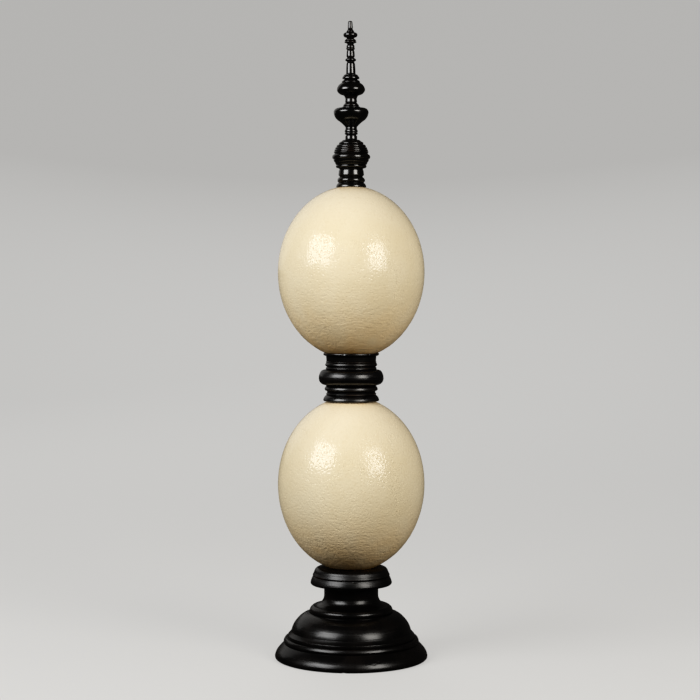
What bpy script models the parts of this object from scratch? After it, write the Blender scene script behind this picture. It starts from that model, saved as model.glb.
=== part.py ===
"""Two ostrich eggs held one above the other in a turned, ebonised wooden mount.

Every piece is round about the vertical axis. From the table upwards: a stepped foot, the cup that
the lower egg stands in, the lower egg, a collar, the upper egg, and a finial in two turnings.
Units are metres with +Z up. The origin is the middle of the foot's underside. Run this file with
blender --background --python part.py, or from the text editor.
"""

import math

import bmesh
import bpy

MM = 0.001

# Driving dimensions, in millimetres.
LOWER_EGG_WIDTH = 128.2
LOWER_EGG_LENGTH = 153.2
UPPER_EGG_WIDTH = 127.6
UPPER_EGG_LENGTH = 150.4
GAP = 0.3  # air between two pieces that touch

# Radius at which each turning meets the egg that it carries, or that carries it.
CUP_SEAT_RADIUS = 20.4
COLLAR_FOOT_SEAT_RADIUS = 20.7
COLLAR_RIM_SEAT_RADIUS = 23.3
KNOP_SEAT_RADIUS = 12.7

# A turned outline runs down the outer side. Each step is (radius, height above the piece's own
# lowest edge, bulge). The bulge is how far the arc to that point stands out from a straight line:
# positive is convex, negative hollow, 0 straight.
FOOT_OUTLINE = (
    (23.7, 64.2, 0),  # neck
    (23.7, 55.0, 0),
    (32.8, 45.6, -2.7),  # cove
    (35.6, 40.8, 1.6),  # upper bead
    (37.0, 40.4, 0),
    (51.2, 26.4, 3.2),  # dome
    (55.2, 20.8, -0.6),  # flare under the dome
    (55.2, 18.9, 0),  # fillet
    (57.0, 18.4, 0),
    (58.4, 14.1, 1.1),  # lower bead
    (60.6, 13.6, 0),
    (66.8, 2.4, 1.5),  # swell of the foot
    (65.6, 0, 0),
)
CUP_OUTLINE = (
    (25.0, 15.2, 0),
    (26.8, 14.8, 0),
    (33.6, 8.4, 1.5),  # upper moulding
    (33.4, 7.5, 0),
    (33.0, 0, 2.2),  # lower moulding
)
COLLAR_OUTLINE = (
    (23.5, 41.9, 0),
    (22.4, 39.4, 1.0),  # rim
    (21.8, 39.0, 0),
    (21.8, 33.8, 0),
    (21.6, 30.7, 0.9),  # ring over the swell
    (21.9, 29.8, 0),
    (22.6, 28.0, 0.2),
    (28.2, 20.8, 1.5),  # swell
    (22.2, 13.8, 1.6),
    (21.6, 12.8, 0),
    (21.6, 9.0, 0.9),  # ring under the swell
    (21.4, 5.4, 0.5),
    (24.2, 1.2, 0.5),  # flared foot
    (23.6, 0, 0),
)
KNOP_OUTLINE = (
    (5.0, 46.2, 0),
    (5.0, 42.0, 0),  # slim neck
    (6.8, 41.3, 0),
    (8.8, 38.4, 0.9),  # five reeds, each wider than the one above
    (11.5, 36.4, 0.7),
    (13.0, 34.8, 0.5),
    (14.2, 33.2, 0.5),
    (15.0, 31.4, 0.5),
    (15.1, 30.0, 0.3),
    (16.0, 26.0, 1.1),  # widest ring
    (16.4, 25.4, 0),
    (15.2, 21.0, 0.7),  # bowl
    (13.4, 18.8, 0.5),
    (10.9, 16.8, 0.3),
    (10.9, 11.6, 0),  # drum
    (10.3, 11.0, 0),
    (10.9, 9.4, 0),
    (10.9, 5.8, 1.1),  # ring
    (13.1, 0.6, 0.6),  # seat
    (12.9, 0, 0),
)
SPIRE_OUTLINE = (
    (2.0, 97.2, 0),
    (2.4, 96.2, 0),  # tip
    (2.4, 91.2, 0),
    (2.7, 88.4, 1.2),  # small ring
    (6.2, 86.5, 0.4),  # bead
    (3.8, 83.0, 0.5),
    (4.3, 81.0, 0.7),  # double ring
    (3.3, 78.9, 1.6),
    (3.3, 74.8, 0.4),
    (3.4, 73.0, 0.9),
    (3.4, 66.2, 0),  # upper spindle
    (3.5, 63.0, 2.2),
    (3.7, 51.2, 0.5),  # lower spindle
    (6.6, 50.8, 0),
    (5.8, 47.9, 1.4),  # two rings over the bell
    (7.4, 45.2, 1.1),
    (12.2, 37.6, 0.9),  # bell
    (6.6, 33.2, 1.1),
    (5.0, 31.9, 0),
    (5.0, 27.4, 0),  # neck
    (6.8, 25.1, 0.7),  # two rings over the bowl
    (8.2, 22.6, 1.0),
    (10.4, 22.2, 0),
    (15.1, 19.2, 1.0),  # bowl
    (12.0, 11.9, 0.8),
    (5.0, 6.4, -0.3),
    (5.0, 2.4, 0),  # neck
    (5.0, 0, 1.4),  # ring at the joint
)

# How finely each piece is turned.
EGG_SEGMENTS = 36
EGG_RINGS = 16
BASE_SEGMENTS = 36
COLLAR_SEGMENTS = 30
KNOP_SEGMENTS = 22
SPIRE_SEGMENTS = 16
SEAT_STEPS = 4
ARC_STEP = math.radians(50)
LEAST_ARC_STEPS = 2
MERGE_DISTANCE = 1e-6
SHARP_ANGLE = math.radians(40)

# name: (colour, roughness)
FINISHES = {
    "eggshell": ((0.80, 0.72, 0.57, 1.0), 0.38),
    "ebonised_wood": ((0.012, 0.010, 0.009, 1.0), 0.32),
}


def clear_scene():
    for item in list(bpy.data.objects):
        bpy.data.objects.remove(item, do_unlink=True)


def make_material(name, finish):
    colour, roughness = FINISHES[finish]
    material = bpy.data.materials.new(name)
    material.use_nodes = True
    material.diffuse_color = colour
    shader = material.node_tree.nodes["Principled BSDF"]
    shader.inputs["Base Color"].default_value = colour
    shader.inputs["Roughness"].default_value = roughness
    shader.inputs["Metallic"].default_value = 0.0
    return material


def arc(start, end, bulge):
    """Points after start, up to and with end, on the arc that stands out from the chord by bulge."""
    if bulge == 0:
        return [end]
    across, up = end[0] - start[0], end[1] - start[1]
    chord = math.hypot(across, up)
    half_angle = 2 * math.atan2(2 * abs(bulge), chord)
    radius = chord / (2 * math.sin(half_angle))
    outward = (-up / chord, across / chord)
    if bulge < 0:
        outward = (up / chord, -across / chord)
    steps = max(LEAST_ARC_STEPS, round(2 * half_angle / ARC_STEP))
    points = []
    for step in range(1, steps):
        angle = half_angle * (2 * step / steps - 1)
        along = 0.5 + radius * math.sin(angle) / chord
        rise = radius * (math.cos(angle) - math.cos(half_angle))
        points.append(
            (
                start[0] + across * along + outward[0] * rise,
                start[1] + up * along + outward[1] * rise,
            )
        )
    return points + [end]


def trace(outline):
    """The outline's points, in order, with its arcs worked out."""
    points = [outline[0][:2]]
    for radius, height, bulge in outline[1:]:
        points += arc(points[-1], (radius, height), bulge)
    return points


def egg_rise(width, length, radius):
    """How far above its middle an egg's surface is, where it is this far from the axis."""
    return length / 2 * math.sqrt(1 - (2 * radius / width) ** 2)


def seat(width, length, seat_radius):
    """Hollow that fits an egg's end: (radius, depth below the seat's edge) from the edge inwards."""
    edge = egg_rise(width, length, seat_radius)
    radii = [seat_radius * (1 - step / SEAT_STEPS) for step in range(SEAT_STEPS + 1)]
    return [(radius, egg_rise(width, length, radius) - edge) for radius in radii]


def egg_outline(width, length):
    """Half an ellipse, from the upper pole to the lower one."""
    angles = [math.pi * step / EGG_RINGS for step in range(EGG_RINGS + 1)]
    return [(width / 2 * math.sin(angle), length / 2 * math.cos(angle)) for angle in angles]


def turn(name, points, height, segments, finish):
    """Spins an outline of (radius, height) in millimetres round the axis, and places the piece."""
    shape = bmesh.new()
    corners = [shape.verts.new((radius * MM, 0, z * MM)) for radius, z in points]
    edges = [shape.edges.new(pair) for pair in zip(corners, corners[1:])]
    bmesh.ops.spin(
        shape,
        geom=corners + edges,
        cent=(0, 0, 0),
        axis=(0, 0, 1),
        dvec=(0, 0, 0),
        angle=2 * math.pi,
        steps=segments,
        use_merge=True,
    )
    bmesh.ops.remove_doubles(shape, verts=shape.verts, dist=MERGE_DISTANCE)
    bmesh.ops.recalc_face_normals(shape, faces=shape.faces)
    mesh = bpy.data.meshes.new(name)
    shape.to_mesh(mesh)
    shape.free()
    mesh.shade_smooth()
    mesh.set_sharp_from_angle(angle=SHARP_ANGLE)
    mesh.materials.append(make_material(name, finish))
    piece = bpy.data.objects.new(name, mesh)
    piece.location.z = height * MM
    bpy.context.scene.collection.objects.link(piece)
    return piece


def turned_wood(name, outline, height, segments, top_seat=(), foot_seat=()):
    """One turning. A seat is (radius, depth) pairs that replace its flat top or underside."""
    points = trace(outline)
    top = points[0][1]
    crown = [(radius, top - depth) for radius, depth in reversed(top_seat)] or [(0, top)]
    sole = [(radius, depth) for radius, depth in foot_seat] or [(0, 0)]
    turn(name, crown + points + sole, height, segments, "ebonised_wood")
    return height + top


def build():
    clear_scene()
    lower_egg = (LOWER_EGG_WIDTH, LOWER_EGG_LENGTH)
    upper_egg = (UPPER_EGG_WIDTH, UPPER_EGG_LENGTH)

    foot_top = turned_wood("foot", FOOT_OUTLINE, 0, BASE_SEGMENTS)
    cup_rim = turned_wood(
        "cup",
        CUP_OUTLINE,
        foot_top + GAP,
        BASE_SEGMENTS,
        top_seat=seat(*lower_egg, CUP_SEAT_RADIUS),
    )

    lower_middle = cup_rim + GAP + egg_rise(*lower_egg, CUP_SEAT_RADIUS)
    turn("lower_egg", egg_outline(*lower_egg), lower_middle, EGG_SEGMENTS, "eggshell")

    collar_foot = lower_middle + egg_rise(*lower_egg, COLLAR_FOOT_SEAT_RADIUS) + GAP
    collar_rim = turned_wood(
        "collar",
        COLLAR_OUTLINE,
        collar_foot,
        COLLAR_SEGMENTS,
        top_seat=seat(*upper_egg, COLLAR_RIM_SEAT_RADIUS),
        foot_seat=seat(*lower_egg, COLLAR_FOOT_SEAT_RADIUS),
    )

    upper_middle = collar_rim + GAP + egg_rise(*upper_egg, COLLAR_RIM_SEAT_RADIUS)
    turn("upper_egg", egg_outline(*upper_egg), upper_middle, EGG_SEGMENTS, "eggshell")

    knop_foot = upper_middle + egg_rise(*upper_egg, KNOP_SEAT_RADIUS) + GAP
    knop_top = turned_wood(
        "knop",
        KNOP_OUTLINE,
        knop_foot,
        KNOP_SEGMENTS,
        foot_seat=seat(*upper_egg, KNOP_SEAT_RADIUS),
    )
    turned_wood("spire", SPIRE_OUTLINE, knop_top + GAP, SPIRE_SEGMENTS)


build()
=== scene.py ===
"""Looks of the mounted ostrich eggs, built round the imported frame. Metres, +Z up.

The eggshells are dense geodesic meshes with real pores. The turnings are lathe meshes whose outlines
hold every moulding. Both are worked out in millimetres, and add_mesh turns them into metres. Two
softboxes stand in front, four more fill in from the sides and from behind, and the floor is plain
and pale. Azimuths run from the front (-Y), positive towards +X.
"""

import math
from itertools import combinations

import bpy
import numpy as np
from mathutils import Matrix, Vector, kdtree


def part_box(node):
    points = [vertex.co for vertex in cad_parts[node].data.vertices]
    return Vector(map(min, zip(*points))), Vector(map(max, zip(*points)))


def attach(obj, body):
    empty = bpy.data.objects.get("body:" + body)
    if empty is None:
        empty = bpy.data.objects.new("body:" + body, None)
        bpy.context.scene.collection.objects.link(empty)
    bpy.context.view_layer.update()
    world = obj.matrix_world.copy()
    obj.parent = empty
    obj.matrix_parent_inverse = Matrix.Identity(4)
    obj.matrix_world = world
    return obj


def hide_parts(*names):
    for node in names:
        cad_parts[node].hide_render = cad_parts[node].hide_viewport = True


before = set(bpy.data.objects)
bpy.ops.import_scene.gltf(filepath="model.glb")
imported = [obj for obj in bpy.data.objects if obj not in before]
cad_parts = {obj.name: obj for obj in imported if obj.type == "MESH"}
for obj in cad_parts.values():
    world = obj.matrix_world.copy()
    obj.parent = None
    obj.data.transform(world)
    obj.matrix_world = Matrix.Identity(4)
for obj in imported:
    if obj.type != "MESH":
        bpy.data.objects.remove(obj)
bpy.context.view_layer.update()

MM = 0.001
TINY = 1e-9  # keeps a divisor from being zero

# The camera was worked out from the photograph: how far the turned rings sag gives its height, and
# the rate at which they do gives its distance. The lens and the sensor are in millimetres.
CAMERA_PLACE = (-0.00105, -1.528, 0.3267)
CAMERA_PITCH = math.radians(-2.127)
CAMERA_LENS = 90.06
CAMERA_SENSOR = 36.0

# Turned outlines, down the outer side: (radius, height above the piece's own lowest edge, bulge), in
# millimetres. The bulge is how far the arc to that point stands out from a straight line: positive
# is convex, negative hollow, 0 straight.
FOOT_OUTLINE = (
    (23.7, 64.2, 0),  # neck
    (23.7, 54.6, 0),
    (33.2, 46.1, -2.5),  # cove
    (34.7, 45.0, 0.1),
    (36.2, 41.3, 0.6),  # upper bead
    (35.6, 40.4, 0.15),
    (35.4, 40.2, 0),
    (37.0, 40.2, 0),
    (47.0, 34.2, 1.0),  # dome
    (50.0, 30.4, 0.12),
    (52.1, 25.6, 0.17),
    (52.5, 24.0, 0),
    (55.4, 20.6, -0.1),
    (55.7, 18.8, 0),  # fillet
    (55.2, 18.3, 0),
    (57.4, 18.0, 0),
    (58.2, 17.5, 0.12),
    (59.1, 15.7, 0.1),  # lower bead
    (59.1, 14.4, 0.15),
    (58.4, 13.7, 0.1),
    (59.2, 13.3, 0),
    (64.4, 7.8, 0.12),
    (66.9, 2.4, 0.38),  # swell of the foot
    (66.8, 1.2, 0.06),
    (65.6, 0, 0.22),
)
CUP_OUTLINE = (
    (25.0, 15.2, 0),
    (27.4, 15.0, 0.1),
    (30.7, 14.3, 0.32),
    (32.1, 12.3, 0.19),
    (32.5, 11.1, 0.03),
    (33.7, 8.8, 0),  # upper moulding
    (33.6, 8.2, 0.1),
    (32.9, 7.8, 0.05),
    (33.6, 7.4, 0),
    (35.6, 2.2, 0.2),  # lower moulding
    (35.2, 0.7, 0.2),
    (34.0, 0.1, 0.12),
    (32.8, 0, 0.1),
)
COLLAR_OUTLINE = (
    (23.4, 42.0, 0),
    (23.9, 42.0, 0),
    (24.25, 40.9, 0.1),
    (23.9, 40.1, 0.1),  # rim
    (21.9, 39.3, 0),
    (21.6, 35.0, 0),
    (21.6, 34.8, 0),
    (22.0, 34.4, 0.05),
    (22.0, 34.0, 0.08),  # thin ring
    (21.5, 33.7, 0),
    (21.8, 33.6, 0),
    (22.5, 32.3, 0.1),  # ring
    (22.3, 30.9, 0.3),
    (21.3, 30.2, 0),
    (21.5, 29.6, 0),
    (22.0, 29.2, 0.05),
    (22.1, 28.3, 0.1),  # thin ring
    (21.7, 27.9, 0.1),
    (22.8, 27.4, 0),
    (24.2, 27.2, 0),
    (27.0, 25.1, 0.45),  # swell
    (28.3, 19.9, 0.38),
    (23.0, 14.2, 1.6),
    (21.6, 13.2, 0),
    (22.0, 12.7, 0),
    (22.7, 12.2, 0.1),  # ring
    (23.2, 10.5, 0.08),
    (22.8, 9.6, 0.15),
    (22.0, 9.1, 0.1),
    (21.2, 8.8, 0),
    (21.0, 7.5, 0),
    (21.3, 7.1, 0),
    (21.8, 6.6, 0.05),
    (21.85, 6.0, 0.1),  # thin ring
    (21.3, 5.5, 0.1),
    (22.0, 5.0, 0),
    (24.3, 1.5, 0.42),  # flared foot
    (24.0, 0.2, 0.2),
    (23.4, 0, 0),
)
KNOP_OUTLINE = (
    (5.6, 46.2, 0),
    (5.6, 45.9, 0),
    (4.2, 45.4, 0),
    (4.2, 45.2, 0),
    (5.1, 44.4, 0),
    (5.2, 41.7, 0),  # slim neck
    (4.9, 41.2, 0),
    (7.0, 40.9, 0),
    (8.4, 39.7, 0.15),
    (8.6, 39.4, 0),
    (10.7, 37.7, 0.6),  # five reeds, each wider than the one above
    (10.1, 37.1, 0),
    (11.0, 36.9, 0),
    (12.8, 35.2, 0.55),
    (12.2, 34.8, 0),
    (12.9, 34.6, 0),
    (13.9, 33.5, 0.35),
    (13.2, 33.2, 0),
    (13.8, 33.0, 0),
    (14.6, 31.7, 0.28),
    (14.0, 31.3, 0),
    (14.6, 31.1, 0),
    (15.1, 30.3, 0.16),
    (14.4, 29.6, 0),
    (14.8, 28.6, 0),
    (15.3, 28.3, 0),
    (16.5, 25.7, 0.5),  # widest ring
    (16.2, 25.0, 0.12),
    (15.4, 24.6, 0),
    (14.5, 21.8, 0.25),  # bowl
    (14.1, 21.6, 0),
    (13.4, 19.8, 0.12),
    (12.7, 19.3, 0),
    (13.1, 17.4, 0.4),
    (12.2, 16.8, 0.1),
    (10.6, 16.4, 0),
    (10.0, 15.4, 0),
    (10.6, 14.8, 0),
    (11.1, 10.5, 0.05),  # drum
    (10.4, 10.0, 0),
    (9.8, 9.0, 0),
    (10.9, 8.1, 0),
    (11.9, 5.2, 0.45),  # ring
    (11.0, 4.2, 0),
    (11.2, 3.7, 0),
    (12.1, 2.8, 0),
    (13.1, 0.2, 0.25),  # seat
    (12.9, 0, 0),
)
SPIRE_OUTLINE = (
    (0, 97.2, 0),
    (1.9, 96.3, 0.5),  # tip
    (2.2, 91.2, 0),
    (2.0, 90.5, 0),
    (2.7, 89.2, 0),
    (2.9, 88.9, 0),
    (2.9, 87.6, 0.45),  # small ring
    (3.0, 87.2, 0),
    (6.0, 86.1, 0.55),  # bead
    (6.15, 84.9, 0.06),
    (3.8, 83.2, 0.55),
    (3.1, 82.2, -0.1),
    (4.4, 81.1, 0),
    (4.6, 80.1, 0.4),  # double ring
    (4.1, 79.8, 0),
    (4.8, 79.6, 0),
    (4.9, 78.6, 0.4),
    (3.6, 78.2, 0),
    (2.6, 77.4, 0),
    (3.2, 76.3, 0),
    (3.5, 74.4, 0.15),
    (3.0, 74.1, 0),
    (3.7, 73.8, 0),
    (3.7, 73.0, 0.12),
    (2.9, 72.4, 0),
    (3.3, 71.2, 0),
    (3.6, 66.8, 0.04),  # upper spindle
    (2.9, 65.6, 0),
    (4.1, 64.6, 0),
    (4.3, 62.9, 0.5),
    (3.0, 62.2, 0),
    (3.7, 60.4, 0),
    (4.1, 52.2, 0.1),  # lower spindle
    (4.2, 51.4, 0),
    (6.2, 50.4, 0.1),
    (6.0, 49.9, 0),
    (7.4, 47.5, 0.5),  # two rings over the bell
    (5.4, 47.0, 0),
    (6.4, 46.1, 0),
    (8.0, 44.4, 0.4),
    (7.8, 44.0, 0),
    (8.2, 43.7, 0),
    (11.8, 40.0, 0.5),  # bell
    (12.3, 37.7, 0.12),
    (7.0, 33.4, 1.1),
    (5.8, 32.4, 0),
    (4.9, 30.0, -0.1),
    (5.2, 27.3, 0.04),  # neck
    (4.6, 26.8, 0),
    (5.4, 26.2, 0),
    (5.9, 25.3, 0),
    (6.7, 23.9, 0.4),  # two rings over the bowl
    (6.2, 23.6, 0),
    (7.2, 23.4, 0),
    (8.1, 22.2, 0.3),
    (7.9, 21.9, 0),
    (10.4, 21.8, 0),
    (14.6, 20.3, 0.8),  # bowl
    (15.2, 18.4, 0.14),
    (12.0, 11.9, 0.7),
    (5.8, 6.6, -0.3),
    (5.0, 5.7, 0),
    (5.0, 3.9, 0),  # neck
    (5.3, 3.5, 0),
    (5.7, 1.6, 0.15),
    (4.9, 1.2, 0),
    (5.5, 0.9, 0),
    (5.7, 0.1, 0.1),  # ring at the joint
    (5.5, 0, 0),
)

# Seats, in millimetres: the radius at which each turning meets its egg, and the air between them.
CUP_SEAT_RADIUS = 20.4
COLLAR_FOOT_SEAT_RADIUS = 20.7
COLLAR_RIM_SEAT_RADIUS = 23.3
KNOP_SEAT_RADIUS = 12.7
SEAT_GAP = 0.3
SEAT_STEPS = 14  # from the axis to the seat's edge

# Knocks in the turnings: (azimuth in degrees, height above the piece's foot, reach, depth), in mm.
FOOT_KNOCKS = (
    (-5.4, 0.9, 1.9, 0.7),  # nick in the lower edge
    (17.0, 6.5, 1.1, 0.25),  # two scratches to its right
    (21.5, 8.2, 1.3, 0.22),
    (152, 2.0, 2.4, 0.6),
)
CUP_KNOCKS = ((4.2, 7.0, 1.6, 0.45), (-128, 7.2, 2.0, 0.4))
COLLAR_KNOCKS = (
    (-15.6, 41.4, 1.4, 0.35),  # chips in the rims
    (38.9, 41.4, 1.8, 0.35),
    (-8.7, 0.4, 1.5, 0.4),
    (41, 19.5, 3.6, 0.35),  # worn patch on the swell
)
KNOP_KNOCKS = ((150, 28.0, 1.6, 0.3),)
SPIRE_KNOCKS = ((-120, 19.0, 1.5, 0.3),)
KNOCK_WIDENING = 1.2  # width of a knock over its height
KNOCK_ROUGHNESS = 0.35  # how uneven its rim is, as a share of its reach
KNOCK_GRAIN = 0.9  # size of that unevenness
KNOCK_HOLLOW = 1.5  # power that rounds off its floor
SPIRE_LEAN = 0.9  # how far the tip has drifted towards -X, in millimetres
LEAN_CURVE = 1.5  # power by which the lean grows towards the tip

# How the outlines are rounded, divided and worn. Lengths are in millimetres.
EDGE_ROUND = 0.22  # how far from a corner its rounding starts
EDGE_SHARE = 0.4  # and the most of a stretch beside the corner that it takes
EDGE_STEPS = (0, 0.3, 0.7, 1)  # where on the rounding its points lie
SOFT_TURN = math.radians(20)  # a corner that turns less stays as it is
ARC_TURN = math.radians(9)  # the most that an arc turns from point to point
LEAST_ARC_STEPS = 4
FLAT_SPACING = 2.0  # from ring to ring on a flat end
WEAR_REACH = 0.55  # how far along the outline an edge is felt
FULL_EDGE_TURN = 1.2  # turn, in radians, that makes a full edge
RIPPLE = 0.007  # height of the lathe's marks
RIPPLE_LAYERS = ((1, 1.1), (0.6, 2.7))  # (share of the height, size)
WARP = 0.05  # depth of the slow unevenness of a turning
WARP_SIZE = 14

# The mesh of the shells, and the strength of the colours that it carries. Lengths are in millimetres.
EGG_FREQUENCY = 97  # parts into which each side of the icosahedron is split
SIDE_SLACK = 1.01  # corners closer than this many sides are neighbours
MERGE_DECIMALS = 7  # points of neighbouring faces that agree so far are one point
MESH_DRIFT = 0.09  # how far its points are shaken, so that no grid shows
DENTS = ((0.12, 38), (0.035, 8))  # (depth, size)
WRINKLE_SIZE = 3.3
WRINKLE_SQUASH = (1, 1, 1.8)  # wrinkles run across the egg
WRINKLE_DEPTH = 0.03  # over the upper half
WRINKLE_GAIN = 0.09  # how much it grows by below the middle, for each half length
WRINKLE_LIMIT = 0.65  # share of the half length below which it grows no more
PORE_LAYERS = ((0.55, 0.35), (1, 1))  # (share of the spacing, share of the depth)
PORE_PATCH_SHARE = 0.3  # how much their spacing varies, in patches
PORE_PATCH_SIZE = 16
PORE_PATCH_SEED = 5
SHALLOWEST_PORE = 0.5  # share of the full depth
# Painted shade: the shells are browned and darkened towards their lower ends, and beside the mount as a
# painted contact shadow.
PAINTED_SHADE_START = 0.08  # where the brown painted shade starts, in half lengths below the middle
PAINTED_SHADE_STRENGTH = 0.65
PAINTED_SHADE_CURVE = 1.5  # power by which it grows towards the lower end
PAINTED_CONTACT_SHADOW_STRENGTH = 0.5  # brown painted contact shadow beside the mount
PAINTED_CONTACT_SHADOW_REACH = 2.2
PAINTED_SHADE_PATCH_SHARE = 0.4  # how much both vary, in patches
PAINTED_SHADE_PATCH_SIZE = 9

# Colours. Pairs are the two ends of a mottling.
IVORY = ((0.84, 0.725, 0.512, 1), (0.81, 0.69, 0.472, 1))
# painted light that pales the tops of the shells
PAINTED_TOP_LIGHT = (0.83, 0.73, 0.56, 1)
FRECKLE = (0.68, 0.52, 0.31, 1)
# painted shade, brown, low down on the shells and beside the mount
PAINTED_SHADE_BROWN = (0.9, 0.56, 0.21, 1)
PORE_FLOOR = (0.40, 0.25, 0.12, 1)
BLACK_POLISH = ((0.0028, 0.0026, 0.0026, 1), (0.0055, 0.0042, 0.0036, 1))
DARK_GRAIN = (0.009, 0.006, 0.0045, 1)
BARE_WOOD = (0.06, 0.032, 0.018, 1)
FLOOR_PAPER = (0.23, 0.228, 0.222, 1)
FLOOR_GLOW = (1, 0.99, 0.97, 1)
STUDIO_AIR = (0.04, 0.038, 0.035, 1)

# Softboxes: (name, place, width, height, power in watts, colour, whether surfaces mirror it).
SOFTBOXES = (
    ("key", (-0.88, -0.69, 0.805), 0.86, 0.62, 13.4, (0.985, 0.985, 0.985), True),
    ("fill", (0.725, -0.81, 0.667), 0.54, 0.58, 8.45, (1, 0.97, 0.92), True),
    ("left", (-1.6, -0.1, 0.8), 1.2, 1.2, 1.8, (1, 0.985, 0.98), False),
    ("right", (1.9, -0.2, 0.38), 0.7, 0.7, 2.6, (1, 0.96, 0.9), False),
    ("back_left", (-0.9, 1.4, 1.1), 1.6, 1.6, 3.4, (1, 0.985, 0.96), True),
    ("back", (0, 2.4, 1.9), 2.0, 2.0, 24, (0.97, 0.985, 1), False),
)
MIDDLE = (0, 0, 0.26)  # what they face

# The floor, in metres: flat out to FLAT_RADIUS, then curved up by BEND_RADIUS into a wall.
FLAT_RADIUS = 1.6
BEND_RADIUS = 2.6
BEND_STEPS = 32
WALL_TOP = 5.0
FLOOR_DROP = 0.0002  # keeps the floor clear of the foot's underside
FLOOR_SEGMENTS = 128

# The film's tone curve: a power for the contrast, a roll-off for the highlights, and its points.
FILM_CONTRAST = 1.35
FILM_SHOULDER = 0.9
FILM_STEPS = (0.01, 0.02, 0.04, 0.07, 0.11, 0.17, 0.25, 0.36, 0.5, 0.66, 0.83)
ALL_CHANNELS = 3  # the curve that works on red, green and blue alike

# What stirs the place of a lattice point into a random height.
LATTICE_PRIMES = (73856093, 19349663, 83492791)
SEED_PRIME = 2654435761
STIRS = ((15, 2246822519), (13, 3266489917))  # (bits to shift by, factor)
LAST_SHIFT = 16
WORD = 0xFFFFFFFF


def value_noise(points, size, seed):
    """Smooth noise from -1 to 1 on points, with features of about size, in the points' own units."""
    scaled = np.asarray(points, float) / size
    cell = np.floor(scaled).astype(np.int64)
    blend = scaled - cell
    blend = blend * blend * (3 - 2 * blend)
    total = np.zeros(len(scaled))
    for corner in np.ndindex(2, 2, 2):
        lattice = (cell + corner) * LATTICE_PRIMES
        mixed = (lattice[:, 0] ^ lattice[:, 1] ^ lattice[:, 2]) + seed * SEED_PRIME
        for shift, factor in STIRS:
            mixed = (mixed ^ (mixed >> shift)) * factor & WORD
        height = (mixed ^ (mixed >> LAST_SHIFT)) / (WORD // 2) - 1
        weight = np.prod(np.where(corner, blend, 1 - blend), axis=1)
        total += height * weight
    return total


# ---------------------------------------------------------------- materials


class Nodes:
    """Short calls for building one material's node tree."""

    def __init__(self, name):
        self.material = bpy.data.materials.new(name)
        self.material.use_nodes = True
        self.tree = self.material.node_tree
        self.shader = self.tree.nodes["Principled BSDF"]

    def add(self, kind, **settings):
        node = self.tree.nodes.new(kind)
        for key, value in settings.items():
            setattr(node, key, value)
        return node

    def link(self, source, target):
        self.tree.links.new(source, target)

    def feed(self, socket, value):
        """Links an output socket, or sets a plain value."""
        if isinstance(value, bpy.types.NodeSocket):
            self.link(value, socket)
        else:
            socket.default_value = value

    def math(self, operation, first, second):
        node = self.add("ShaderNodeMath", operation=operation)
        self.feed(node.inputs[0], first)
        self.feed(node.inputs[1], second)
        return node.outputs[0]

    def span(self, value, low, high, to_low, to_high):
        """Maps low..high to to_low..to_high, smoothly and clamped."""
        node = self.add("ShaderNodeMapRange", interpolation_type="SMOOTHSTEP")
        for socket, number in zip(node.inputs, (value, low, high, to_low, to_high)):
            self.feed(socket, number)
        return node.outputs[0]

    def mix(self, factor, first, second):
        node = self.add("ShaderNodeMix", data_type="RGBA")
        self.feed(node.inputs["Factor"], factor)
        self.feed(node.inputs["A"], first)
        self.feed(node.inputs["B"], second)
        return node.outputs["Result"]

    def stretched(self, vector, scale):
        node = self.add("ShaderNodeVectorMath", operation="MULTIPLY")
        self.link(vector, node.inputs[0])
        node.inputs[1].default_value = scale
        return node.outputs[0]

    def noise(self, vector, scale, detail, roughness=0.5, distortion=0.0):
        node = self.add("ShaderNodeTexNoise")
        self.link(vector, node.inputs["Vector"])
        node.inputs["Scale"].default_value = scale
        node.inputs["Detail"].default_value = detail
        node.inputs["Roughness"].default_value = roughness
        node.inputs["Distortion"].default_value = distortion
        return node.outputs["Fac"]

    def attribute(self, name):
        return self.add("ShaderNodeAttribute", attribute_name=name).outputs["Fac"]

    def bump(self, height, distance, onto=None):
        """A normal from a height that stands out by distance, in metres, on top of another normal."""
        node = self.add("ShaderNodeBump")
        node.inputs["Strength"].default_value = 1.0
        node.inputs["Distance"].default_value = distance
        self.link(height, node.inputs["Height"])
        if onto is not None:
            self.link(onto, node.inputs["Normal"])
        return node.outputs[0]


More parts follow.
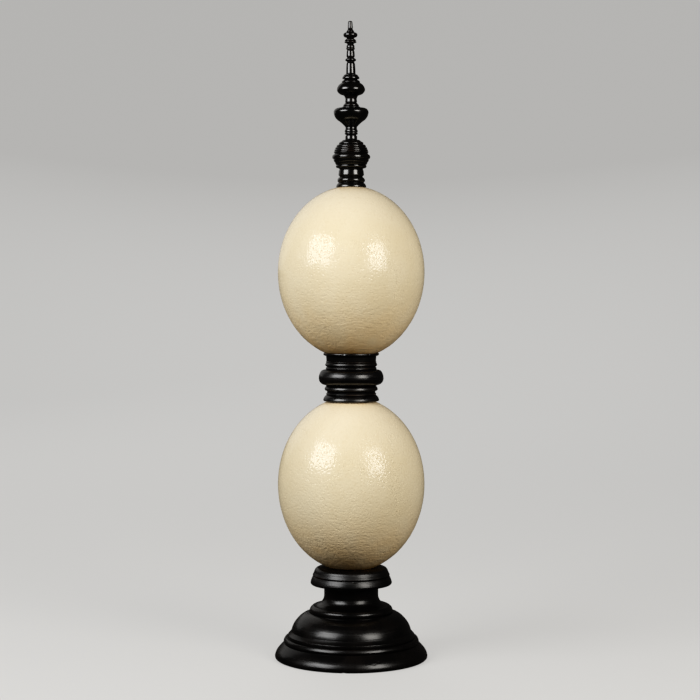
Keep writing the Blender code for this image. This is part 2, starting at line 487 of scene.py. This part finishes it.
def eggshell_material(name, painted_shade_strength):
    """Glazed ivory shell: soft mottling, fine pits, darker pores, painted light that pales the top,
    painted shade that browns the lower end, and a painted contact shadow by the mount.
    """
    n = Nodes(name)
    place = n.add("ShaderNodeTexCoord").outputs["Object"]
    pore = n.attribute("pore")
    painted_shade = n.attribute("painted_shade")
    fall = n.attribute("fall")

    clouds = n.span(n.noise(place, scale=24, detail=3), 0.35, 0.65, 0, 1)
    ivory = n.mix(clouds, *IVORY)
    # Painted light: the top of the shell is paled.
    with_painted_top_light = n.mix(n.span(fall, -0.95, -0.3, 0.55, 0), ivory, PAINTED_TOP_LIGHT)
    freckles = n.span(n.noise(place, scale=420, detail=2), 0.52, 0.72, 0, 0.16)
    freckled = n.mix(freckles, with_painted_top_light, FRECKLE)
    # Painted shade: browner and darker towards the lower end, with a painted contact shadow by the
    # mount.
    with_painted_shade = n.mix(n.math("MULTIPLY", painted_shade, painted_shade_strength), freckled, PAINTED_SHADE_BROWN)
    pored = n.mix(n.span(pore, 0.15, 0.9, 0, 0.15), with_painted_shade, PORE_FLOOR)
    n.link(pored, n.shader.inputs["Base Color"])

    pits = n.add("ShaderNodeTexVoronoi")
    n.link(place, pits.inputs["Vector"])
    pits.inputs["Scale"].default_value = 430
    pits.inputs["Randomness"].default_value = 0.8
    pit = pits.outputs["Distance"]
    n.link(n.span(pit, 0.14, 0.4, 0.08, 0.34), n.shader.inputs["Specular IOR Level"])
    gloss = n.span(n.noise(place, scale=60, detail=3), 0.3, 0.7, 0.1, 0.16)
    dull = n.math("ADD", n.math("MULTIPLY", pore, 0.5), n.span(fall, 0, 0.6, 0, 0.17))
    n.link(n.math("ADD", gloss, dull), n.shader.inputs["Roughness"])

    squashed = n.stretched(place, (1, 1, 2.4))
    wrinkles = n.noise(squashed, scale=240, detail=1, roughness=0.3, distortion=0.4)
    low = n.bump(n.math("MULTIPLY", wrinkles, n.span(fall, -0.1, 0.7, 0.15, 1)), 0.00034)
    n.link(n.bump(n.span(pit, 0, 0.45, 0, 1), 0.00014, onto=low), n.shader.inputs["Normal"])
    return n.material


def wood_material(name, gloss, wear, specular, spread, relief):
    """Ebonised wood: black polish over brown, lathe marks round it, grain along it, rubbed edges.

    gloss is the roughness of the clean polish, wear how brown a rubbed edge gets, specular the
    specular level, spread the anisotropy, and relief scales every bump.
    """
    n = Nodes(name)
    place = n.add("ShaderNodeTexCoord").outputs["Object"]
    parts = n.add("ShaderNodeSeparateXYZ")
    n.link(place, parts.inputs[0])
    radius = n.add("ShaderNodeVectorMath", operation="LENGTH")
    n.link(n.stretched(place, (1, 1, 0)), radius.inputs[0])
    # The lathe's marks follow the height, and the radius too, so that they cross flat steps as well.
    along = n.math("ADD", parts.outputs["Z"], n.math("MULTIPLY", radius.outputs["Value"], 0.83))
    edge = n.attribute("edge")

    wander = n.math("MULTIPLY", n.noise(place, scale=30, detail=2), 0.0012)
    ring = n.add("ShaderNodeTexNoise", noise_dimensions="1D")
    n.feed(ring.inputs["W"], n.math("ADD", along, wander))
    ring.inputs["Scale"].default_value = 950
    ring.inputs["Detail"].default_value = 2
    marks = ring.outputs["Fac"]
    grain = n.noise(n.stretched(place, (1, 1, 0.07)), scale=900, detail=3, roughness=0.6)
    blotches = n.noise(place, scale=55, detail=4, roughness=0.6)

    black = n.mix(n.span(blotches, 0.35, 0.7, 0, 1), *BLACK_POLISH)
    grained = n.mix(n.span(grain, 0.58, 0.78, 0, 0.5), black, DARK_GRAIN)
    patchy = n.math("MULTIPLY", n.math("SUBTRACT", blotches, 0.5), 3.0)
    rub = n.math("ADD", edge, patchy)
    rubbed = n.mix(n.span(rub, 0.75, 1.5, 0, wear), grained, BARE_WOOD)
    n.link(rubbed, n.shader.inputs["Base Color"])

    polish = n.span(edge, -0.45, -0.08, 0.2 * specular, specular)
    n.link(polish, n.shader.inputs["Specular IOR Level"])
    n.shader.inputs["Anisotropic"].default_value = spread
    tangent = n.add("ShaderNodeTangent", direction_type="RADIAL", axis="Z")
    n.link(tangent.outputs[0], n.shader.inputs["Tangent"])
    sheen = n.span(blotches, 0.3, 0.75, gloss - 0.03, gloss + 0.05)
    hollow = n.span(edge, -0.7, -0.1, 0.12, 0)
    streak = n.span(marks, 0.4, 0.75, 0, 0.05)
    n.link(n.math("ADD", n.math("ADD", sheen, hollow), streak), n.shader.inputs["Roughness"])

    rings = n.bump(marks, 0.00003 * relief)
    pores = n.bump(grain, 0.00002 * relief, onto=rings)
    n.link(n.bump(blotches, 0.00008 * relief, onto=pores), n.shader.inputs["Normal"])
    return n.material


# ---------------------------------------------------------------- turnings


def arc(start, end, bulge):
    """Points after start, up to and with end, on the arc that stands out from the chord by bulge."""
    if bulge == 0:
        return [end]
    step = end - start
    chord = np.hypot(*step)
    outward = np.array((-step[1], step[0])) / chord * np.sign(bulge)
    half_angle = 2 * math.atan2(2 * abs(bulge), chord)
    radius = chord / (2 * math.sin(half_angle))
    count = max(LEAST_ARC_STEPS, math.ceil(2 * half_angle / ARC_TURN))
    angles = half_angle * (2 * np.arange(1, count) / count - 1)
    along = 0.5 + radius * np.sin(angles) / chord
    rise = radius * (np.cos(angles) - math.cos(half_angle))
    return list(start + along[:, None] * step + rise[:, None] * outward) + [end]


def softened(points):
    """The outline with its sharp corners rounded off, as sanding leaves them."""
    result = [points[0]]
    for before, corner, after in zip(points, points[1:], points[2:]):
        back, on = before - corner, after - corner
        back_length, on_length = np.hypot(*back), np.hypot(*on)
        turn = math.pi - math.acos(np.clip(back @ on / (back_length * on_length), -1, 1))
        if turn < SOFT_TURN:
            result.append(corner)
            continue
        cut = min(EDGE_ROUND, EDGE_SHARE * back_length, EDGE_SHARE * on_length)
        start, end = corner + back / back_length * cut, corner + on / on_length * cut
        for t in EDGE_STEPS:
            result.append((1 - t) ** 2 * start + 2 * t * (1 - t) * corner + t * t * end)
    return result + [points[-1]]


def spaced(points, spacing):
    """The same line, with no two neighbours further apart than spacing."""
    result = [points[0]]
    for start, end in zip(points, points[1:]):
        count = max(1, math.ceil(np.hypot(*(end - start)) / spacing))
        result += [start + (end - start) * step / count for step in range(1, count + 1)]
    return np.array(result)


def trace(outline, spacing):
    """The outline's points in order, with its arcs worked out and its corners softened."""
    points = [np.array(outline[0][:2], float)]
    for radius, height, bulge in outline[1:]:
        points += arc(points[-1], np.array((radius, height), float), bulge)
    return spaced(softened(points), spacing)


def egg_of(node):
    """(middle height, half width, half length) of an egg's solid, in millimetres."""
    low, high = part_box(node)
    return (low.z + high.z) / 2 / MM, (high.x - low.x) / 2 / MM, (high.z - low.z) / 2 / MM


def seat(egg, seat_radius, foot, side):
    """Hollow that clears an egg's end, from the axis out. side is 1 over the egg, -1 under it."""
    middle, half_width, half_length = egg
    radii = seat_radius * np.sin(np.linspace(0, math.pi / 2, SEAT_STEPS + 1))
    rise = half_length * np.sqrt(1 - (radii / half_width) ** 2) + SEAT_GAP
    return np.column_stack((radii, middle + side * rise - foot))


def line_normals(points):
    step = np.gradient(points, axis=0)
    normal = np.column_stack((-step[:, 1], step[:, 0]))
    return normal / np.maximum(np.linalg.norm(normal, axis=1, keepdims=True), TINY)


def distance_along(line):
    return np.concatenate(([0], np.cumsum(np.hypot(*np.diff(line, axis=0).T))))


def convexity(line):
    """How sharply the line turns outwards near each point: about 1 at an edge, -1 in a groove."""
    step = np.diff(line, axis=0)
    heading = np.unwrap(np.arctan2(step[:, 1], step[:, 0]))
    turn = np.concatenate(([0], -np.diff(heading), [0]))
    run = distance_along(line)
    near = np.exp(-(((run[:, None] - run[None, :]) / WEAR_REACH) ** 2))
    return np.clip(near @ turn / FULL_EDGE_TURN, -1, 1)


def knocked(places, knocks, seed):
    """How far the knocks push each place in. Places are in millimetres above the piece's foot."""
    depth = np.zeros(len(places))
    ragged = 1 + KNOCK_ROUGHNESS * value_noise(places, KNOCK_GRAIN, seed)
    radius = np.hypot(places[:, 0], places[:, 1])
    azimuths = np.arctan2(places[:, 0], -places[:, 1])
    girth = 2 * math.pi * radius
    for azimuth, height, reach, deep in knocks:
        across = radius * (azimuths - math.radians(azimuth))
        across -= girth * np.round(across / np.maximum(girth, TINY))
        far = np.hypot(across, (places[:, 2] - height) * KNOCK_WIDENING) / (reach * ragged)
        depth += deep * np.clip(1 - far**2, 0, 1) ** KNOCK_HOLLOW
    return depth


def add_mesh(name, points, faces, attributes):
    mesh = bpy.data.meshes.new(name)
    mesh.from_pydata((points * MM).tolist(), [], faces)
    for label, values in attributes.items():
        layer = mesh.attributes.new(label, "FLOAT", "POINT")
        layer.data.foreach_set("value", values.astype(np.float32))
    mesh.shade_smooth()
    piece = bpy.data.objects.new(name, mesh)
    bpy.context.scene.collection.objects.link(piece)
    return piece


def spun(line, segments):
    """A lathe mesh from a line that starts and ends on the axis.

    Gives its places, their normals, its faces, and which point of the line each place comes from.
    """
    angles = np.arange(segments) * 2 * math.pi / segments
    sine, cosine = np.sin(angles), -np.cos(angles)
    rings = line[1:-1]

    def swept(values):
        heights = np.broadcast_to(values[:, 1:], (len(rings), segments))
        return np.stack((values[:, :1] * sine, values[:, :1] * cosine, heights), axis=-1).reshape(-1, 3)

    places = np.vstack(((0, 0, line[0, 1]), swept(rings), (0, 0, line[-1, 1])))
    normals = np.vstack(((0, 0, 1), swept(line_normals(line)[1:-1]), (0, 0, -1)))
    ring_numbers = np.repeat(np.arange(1, len(rings) + 1), segments)
    ring_of = np.concatenate(([0], ring_numbers, [len(rings) + 1]))

    here = 1 + np.arange(segments)
    on = 1 + (np.arange(segments) + 1) % segments
    faces = [(0, a, b) for a, b in zip(here, on)]
    last_ring = (len(rings) - 1) * segments
    for start in range(0, last_ring, segments):
        below = start + segments
        faces += [(a + start, a + below, b + below, b + start) for a, b in zip(here, on)]
    faces += [(a + last_ring, len(places) - 1, b + last_ring) for a, b in zip(here, on)]
    return places, normals, [tuple(map(int, face)) for face in faces], ring_of


def turning(node, outline, material, knocks, spacing, segments, top_seat=None, foot_seat=None, lean=0.0):
    """One turned piece that stands for its node, with its lathe marks, its knocks and its wear.

    A seat is (egg, radius), and replaces a flat end.
    """
    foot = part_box(node)[0].z / MM
    seed = len(outline)
    body = trace(outline, spacing)
    if top_seat:
        crown = seat(*top_seat, foot, side=-1)
    elif body[0, 0] > 0:
        crown = spaced([np.array((0, body[0, 1])), body[0]], FLAT_SPACING)[:-1]
    else:
        crown = body[:0]
    if foot_seat:
        sole = seat(*foot_seat, foot, side=1)[::-1]
    else:
        sole = spaced([body[-1], np.array((0, body[-1, 1]))], FLAT_SPACING)[1:]
    line = np.vstack((crown, body, sole))
    places, normals, faces, ring_of = spun(line, segments)

    turned = np.zeros(len(line))
    turned[len(crown) : len(crown) + len(body)] = 1
    edge = convexity(line) * turned
    run = distance_along(line)
    steps = np.column_stack((run, np.zeros((len(run), 2))))
    ripple = np.zeros(len(run))
    for layer, (share, size) in enumerate(RIPPLE_LAYERS):
        ripple += share * value_noise(steps, size, seed + layer)
    push = (ripple * turned * RIPPLE * (1 - np.abs(edge)))[ring_of]
    push += WARP * value_noise(places, WARP_SIZE, seed + 2) * turned[ring_of]
    push -= knocked(places, knocks, seed + 3) * turned[ring_of]
    shaped = places + normals * push[:, None]
    shaped[:, 0] -= lean * (places[:, 2] / line[:, 1].max()) ** LEAN_CURVE
    if node == "foot":
        shaped[:, 2] = np.maximum(shaped[:, 2], 0)  # nothing sinks into the floor
    shaped[:, 2] += foot

    piece = add_mesh(node + "_turning", shaped, faces, {"edge": edge[ring_of]})
    piece.data.materials.append(material)
    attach(piece, "root")
    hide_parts(node)


# ---------------------------------------------------------------- eggshells


def geodesic(frequency):
    """Unit directions and triangles of an icosahedron whose faces are each split this many ways."""
    golden = (1 + math.sqrt(5)) / 2
    corners = []
    for first in (-1, 1):
        for second in (-golden, golden):
            corners += [(0, first, second), (first, second, 0), (second, 0, first)]
    corners = np.array(corners) / math.hypot(1, golden)
    side = min(np.linalg.norm(corners[0] - corner) for corner in corners[1:]) * SIDE_SLACK
    near = [
        (a, b, c)
        for a, b, c in combinations(range(len(corners)), 3)
        if max(np.linalg.norm(corners[[a, b, c]] - corners[[b, c, a]], axis=1)) < side
    ]
    rows, columns = np.meshgrid(np.arange(frequency + 1), np.arange(frequency + 1), indexing="ij")
    kept = rows + columns <= frequency
    rows, columns = rows[kept], columns[kept]
    number = np.full((frequency + 2, frequency + 2), -1)
    number[rows, columns] = np.arange(len(rows))

    def triangles(limit, steps):
        """One triangle for each grid point under the limit. steps go from the point to the corners."""
        start = rows + columns < limit
        row, column = rows[start], columns[start]
        return np.column_stack([number[row + down, column + right] for down, right in steps])

    upright = triangles(frequency, ((0, 0), (1, 0), (0, 1)))
    inverted = triangles(frequency - 1, ((1, 0), (1, 1), (0, 1)))
    flat = np.vstack((upright, inverted))
    weights = np.column_stack((frequency - rows - columns, rows, columns)) / frequency
    points, faces = [], []
    for face in near:
        if np.linalg.det(corners[list(face)]) < 0:
            face = face[::-1]
        faces.append(flat + len(points) * len(rows))
        points.append(weights @ corners[list(face)])
    points = np.vstack(points)
    merged = np.round(points, MERGE_DECIMALS)
    _, first, same = np.unique(merged, axis=0, return_index=True, return_inverse=True)
    points = points[first]
    faces = same.reshape(-1)[np.vstack(faces)]
    return points / np.linalg.norm(points, axis=1, keepdims=True), faces


def pores_on(points, spacing, random):
    """Numbers of the points that hold a pore, in random order, none closer together than spacing."""
    tree = kdtree.KDTree(len(points))
    for number, point in enumerate(points):
        tree.insert(point, number)
    tree.balance()
    patches = value_noise(points, PORE_PATCH_SIZE, PORE_PATCH_SEED)
    crowding = spacing * (1 + PORE_PATCH_SHARE * patches)
    taken = np.zeros(len(points), bool)
    pores = []
    for number in random.permutation(len(points)):
        if taken[number]:
            continue
        pores.append(number)
        for _, other, _ in tree.find_range(Vector(points[number]), crowding[number]):
            taken[other] = True
    return np.array(pores)


def eggshell(node, wood_edges, spacing, depth, painted_shade_strength, seed):
    """An eggshell that stands for its node. wood_edges are the heights where the mount touches it.

    spacing and depth are those of the pores, in millimetres, and the argument after them scales the
    brown painted shade low down and the painted contact shadow by the mount.
    """
    middle, half_width, half_length = egg_of(node)
    random = np.random.default_rng(seed)
    directions, faces = geodesic(EGG_FREQUENCY)
    turn, _ = np.linalg.qr(random.normal(size=(3, 3)))
    turn *= np.sign(np.linalg.det(turn))
    directions = directions @ turn
    half = np.array((half_width, half_width, half_length))
    places = directions * half
    normals = directions / half
    normals /= np.linalg.norm(normals, axis=1, keepdims=True)

    drift = random.normal(scale=MESH_DRIFT, size=places.shape)
    places += drift - normals * np.sum(drift * normals, axis=1, keepdims=True)
    relief = np.zeros(len(places))
    for layer, (deep, size) in enumerate(DENTS, start=1):
        relief += deep * value_noise(places, size, seed + layer)
    lowness = np.clip(-places[:, 2] / half_length, 0, WRINKLE_LIMIT)
    wrinkles = value_noise(places * WRINKLE_SQUASH, WRINKLE_SIZE, seed + 3)
    relief += (WRINKLE_DEPTH + WRINKLE_GAIN * lowness) * wrinkles
    pore = np.zeros(len(places))
    for closeness, share in PORE_LAYERS:
        pores = pores_on(places, closeness * spacing, random)
        pore[pores] = share * random.uniform(SHALLOWEST_PORE, 1, len(pores))
    relief -= depth * pore
    places += normals * relief[:, None]
    places[:, 2] += middle

    fall = (middle - places[:, 2]) / half_length
    # Painted shade: browner and darker towards the lower end, and a painted contact shadow beside each
    # edge of the mount; both vary in patches.
    painted_shade = PAINTED_SHADE_STRENGTH * np.clip(fall - PAINTED_SHADE_START, 0, 1) ** PAINTED_SHADE_CURVE
    for edge in wood_edges:
        painted_shade += PAINTED_CONTACT_SHADOW_STRENGTH * np.exp(-np.abs(places[:, 2] - edge) / PAINTED_CONTACT_SHADOW_REACH)
    painted_shade *= 1 + PAINTED_SHADE_PATCH_SHARE * value_noise(places, PAINTED_SHADE_PATCH_SIZE, seed + 4)

    values = {"pore": pore, "painted_shade": np.clip(painted_shade, 0, 1), "fall": fall}
    piece = add_mesh(node + "_shell", places, faces.tolist(), values)
    piece.data.materials.append(eggshell_material(node + "_ivory", painted_shade_strength))
    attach(piece, "root")
    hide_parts(node)


# ---------------------------------------------------------------- studio


def make_softboxes():
    for name, place, width, height, power, colour, mirrored in SOFTBOXES:
        light = bpy.data.lights.new(name, "AREA")
        light.shape = "RECTANGLE"
        light.size, light.size_y = width, height
        light.energy = power
        light.color = colour
        lamp = bpy.data.objects.new(name, light)
        lamp.location = place
        lamp.rotation_mode = "QUATERNION"
        lamp.rotation_quaternion = (Vector(MIDDLE) - Vector(place)).to_track_quat("-Z", "Y")
        lamp.visible_camera = False
        lamp.visible_glossy = mirrored
        bpy.context.scene.collection.objects.link(lamp)


def make_floor():
    """A pale floor that curves up into a wall all round. It neither shows in the polish nor lights."""
    bend = np.linspace(0, math.pi / 2, BEND_STEPS + 1)
    radii = FLAT_RADIUS + BEND_RADIUS * np.sin(bend)
    line = list(zip(radii, BEND_RADIUS - BEND_RADIUS * np.cos(bend)))
    line.append((FLAT_RADIUS + BEND_RADIUS, WALL_TOP))
    angles = np.arange(FLOOR_SEGMENTS) * 2 * math.pi / FLOOR_SEGMENTS
    points = [(0.0, 0.0, 0.0)]
    for radius, height in line:
        points += [(radius * math.sin(a), radius * math.cos(a), height) for a in angles]
    here = np.arange(FLOOR_SEGMENTS)
    on = (here + 1) % FLOOR_SEGMENTS
    faces = [(0, 1 + b, 1 + a) for a, b in zip(here, on)]
    for start in 1 + FLOOR_SEGMENTS * np.arange(len(line) - 1):
        above = start + FLOOR_SEGMENTS
        faces += [(start + a, start + b, above + b, above + a) for a, b in zip(here, on)]
    mesh = bpy.data.meshes.new("floor")
    mesh.from_pydata(points, [], [tuple(map(int, face)) for face in faces])
    mesh.shade_smooth()
    floor = bpy.data.objects.new("floor", mesh)
    floor.location.z = -FLOOR_DROP
    bpy.context.scene.collection.objects.link(floor)
    n = Nodes("floor_paper")
    n.shader.inputs["Base Color"].default_value = FLOOR_PAPER
    n.shader.inputs["Emission Color"].default_value = FLOOR_GLOW
    n.shader.inputs["Emission Strength"].default_value = 0.4
    n.shader.inputs["Roughness"].default_value = 0.9
    n.shader.inputs["Specular IOR Level"].default_value = 0.1
    mesh.materials.append(n.material)
    floor.visible_glossy = False
    floor.visible_diffuse = False


def make_world():
    world = bpy.data.worlds.new("studio")
    world.use_nodes = True
    world.node_tree.nodes["Background"].inputs["Color"].default_value = STUDIO_AIR
    bpy.context.scene.world = world


def make_camera():
    camera = bpy.data.objects.new("camera", bpy.data.cameras.new("camera"))
    camera.data.lens = CAMERA_LENS
    camera.data.sensor_width = CAMERA_SENSOR
    camera.location = CAMERA_PLACE
    camera.rotation_euler = (math.pi / 2 + CAMERA_PITCH, 0, 0)
    bpy.context.scene.collection.objects.link(camera)
    bpy.context.scene.camera = camera


def make_film():
    """A tone curve like a studio photograph's: deep blacks, and highlights that roll off."""
    view = bpy.context.scene.view_settings
    view.view_transform = "Standard"
    view.use_curve_mapping = True
    curve = view.curve_mapping.curves[ALL_CHANNELS]
    for light in FILM_STEPS:
        power = light**FILM_CONTRAST
        curve.points.new(light, power * (1 + FILM_SHOULDER) / (1 + FILM_SHOULDER * power))
    view.curve_mapping.update()


def make_turnings():
    lower_egg, upper_egg = egg_of("lower_egg"), egg_of("upper_egg")
    foot_wood = wood_material("foot_wood", 0.24, wear=0.4, specular=0.42, spread=0.35, relief=0.7)
    cup_wood = wood_material("cup_wood", 0.28, wear=0.4, specular=0.43, spread=0.6, relief=0.7)
    collar_wood = wood_material("collar_wood", 0.26, wear=0.4, specular=0.6, spread=0.55, relief=0.5)
    finial_wood = wood_material("finial_wood", 0.17, wear=0.15, specular=0.76, spread=0.15, relief=0.3)
    turning("foot", FOOT_OUTLINE, foot_wood, FOOT_KNOCKS, spacing=0.55, segments=288)
    turning(
        "cup",
        CUP_OUTLINE,
        cup_wood,
        CUP_KNOCKS,
        spacing=0.4,
        segments=224,
        top_seat=(lower_egg, CUP_SEAT_RADIUS),
    )
    turning(
        "collar",
        COLLAR_OUTLINE,
        collar_wood,
        COLLAR_KNOCKS,
        spacing=0.35,
        segments=200,
        top_seat=(upper_egg, COLLAR_RIM_SEAT_RADIUS),
        foot_seat=(lower_egg, COLLAR_FOOT_SEAT_RADIUS),
    )
    turning(
        "knop",
        KNOP_OUTLINE,
        finial_wood,
        KNOP_KNOCKS,
        spacing=0.3,
        segments=144,
        foot_seat=(upper_egg, KNOP_SEAT_RADIUS),
    )
    turning("spire", SPIRE_OUTLINE, finial_wood, SPIRE_KNOCKS, spacing=0.3, segments=96, lean=SPIRE_LEAN)


def make_eggshells():
    cup_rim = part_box("cup")[1].z / MM
    collar_foot, collar_rim = (corner.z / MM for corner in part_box("collar"))
    knop_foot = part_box("knop")[0].z / MM
    eggshell("lower_egg", (cup_rim, collar_foot), spacing=3.0, depth=0.28, painted_shade_strength=1.0, seed=11)
    eggshell("upper_egg", (collar_rim, knop_foot), spacing=3.3, depth=0.18, painted_shade_strength=0.8, seed=23)


make_camera()
make_softboxes()
make_world()
make_film()
make_floor()
make_turnings()
make_eggshells()
